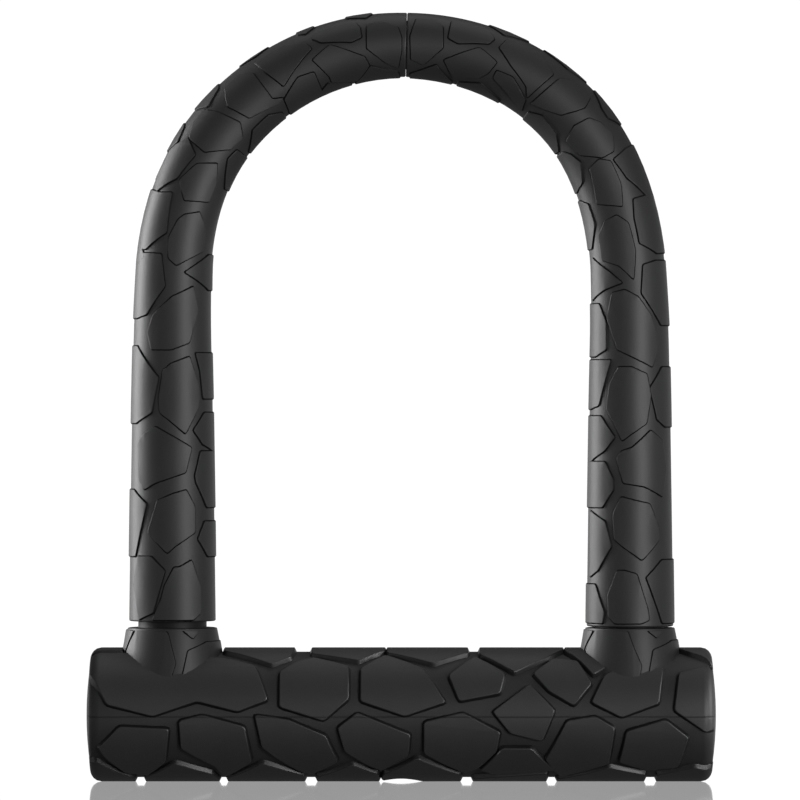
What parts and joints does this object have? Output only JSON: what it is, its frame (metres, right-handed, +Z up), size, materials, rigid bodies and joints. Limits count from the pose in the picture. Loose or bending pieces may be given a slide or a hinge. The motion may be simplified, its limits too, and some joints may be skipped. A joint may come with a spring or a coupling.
{
  "type": "u lock",
  "caption": "U-shaped bicycle lock: rubber-covered round-bar shackle whose legs seat in a thick round crossbar, with a disc cylinder and sliding deadbolts inside.",
  "frame": {"origin": "middle of the underside of the crossbar's sleeve, under the key opening's centre", "axes": "+Z up from the crossbar to the arch of the shackle and the lock's longest extent; +X along the crossbar to the right seen from the front; -Y is the front face, and Y is the lock's thickness"},
  "size_m": [0.18, 0.0384, 0.2204],
  "materials": {
    "silicone": "semi-matte moulded silicone with fine grain",
    "hardened_steel": "ground and hardened",
    "blackened_steel": "blackened satin",
    "phosphated_steel": "dark phosphate",
    "brass": "stamped",
    "pad_rubber": "matte"
  },
  "bodies": {
    "crossbar": {"crossbar_tube": "phosphated_steel", "crossbar_sleeve": "silicone", "left_end_plug": "hardened_steel", "left_end_pin": "hardened_steel", "left_guide_block": "phosphated_steel", "left_block_pin": "hardened_steel", "left_leg_bush": "phosphated_steel", "left_foot_pad": "pad_rubber", "right_end_plug": "hardened_steel", "right_end_pin": "hardened_steel", "right_guide_block": "phosphated_steel", "right_block_pin": "hardened_steel", "right_leg_bush": "phosphated_steel", "right_foot_pad": "pad_rubber", "cylinder_housing": "hardened_steel", "front_housing_pin": "hardened_steel", "rear_housing_pin": "hardened_steel", "escutcheon_ring": "hardened_steel"},
    "shackle": {"shackle_bar": "hardened_steel", "left_shackle_sleeve": "silicone", "right_shackle_sleeve": "silicone", "left_leg_collar": "blackened_steel", "right_leg_collar": "blackened_steel"},
    "cylinder_plug": {"plug_core": "hardened_steel", "drill_plate": "phosphated_steel", "disc_1": "brass", "disc_2": "brass", "disc_3": "brass", "disc_4": "brass", "disc_5": "brass", "disc_6": "brass", "sidebar": "hardened_steel", "plug_clip": "hardened_steel", "drive_cam": "hardened_steel", "left_cam_pin": "hardened_steel", "right_cam_pin": "hardened_steel"},
    "key_shutter": {"key_shutter": "blackened_steel"},
    "left_bolt": {"left_bolt": "hardened_steel", "left_bolt_tail": "phosphated_steel", "left_tail_pin": "hardened_steel"},
    "right_bolt": {"right_bolt": "hardened_steel", "right_bolt_tail": "phosphated_steel", "right_tail_pin": "hardened_steel"}
  },
  "joints": [
    {"name": "shackle_lift", "type": "slide", "parent": "crossbar", "child": "shackle", "axis": [0, 0, 1], "range_m": [0, 0.05]},
    {"name": "plug_turn", "type": "hinge", "parent": "crossbar", "child": "cylinder_plug", "pos_m": [0, 0, 0.0192], "axis": [0, 0, -1], "range_deg": [0, 90]},
    {"name": "right_bolt_throw", "type": "slide", "parent": "crossbar", "child": "right_bolt", "axis": [1, 0, 0], "range_m": [0, 0.00566]},
    {"name": "left_bolt_throw", "type": "slide", "parent": "crossbar", "child": "left_bolt", "axis": [-1, 0, 0], "range_m": [0, 0.00566]},
    {"name": "shutter_turn", "type": "hinge", "parent": "crossbar", "child": "key_shutter", "pos_m": [0, 0, 0.0051], "axis": [0, 0, -1], "range_deg": [0, 90]}
  ],
  "couplings": [
    {"joint": "plug_turn", "follows": "right_bolt_throw", "rad_per_m": 277.68},
    {"joint": "left_bolt_throw", "follows": "right_bolt_throw", "ratio": 1}
  ]
}
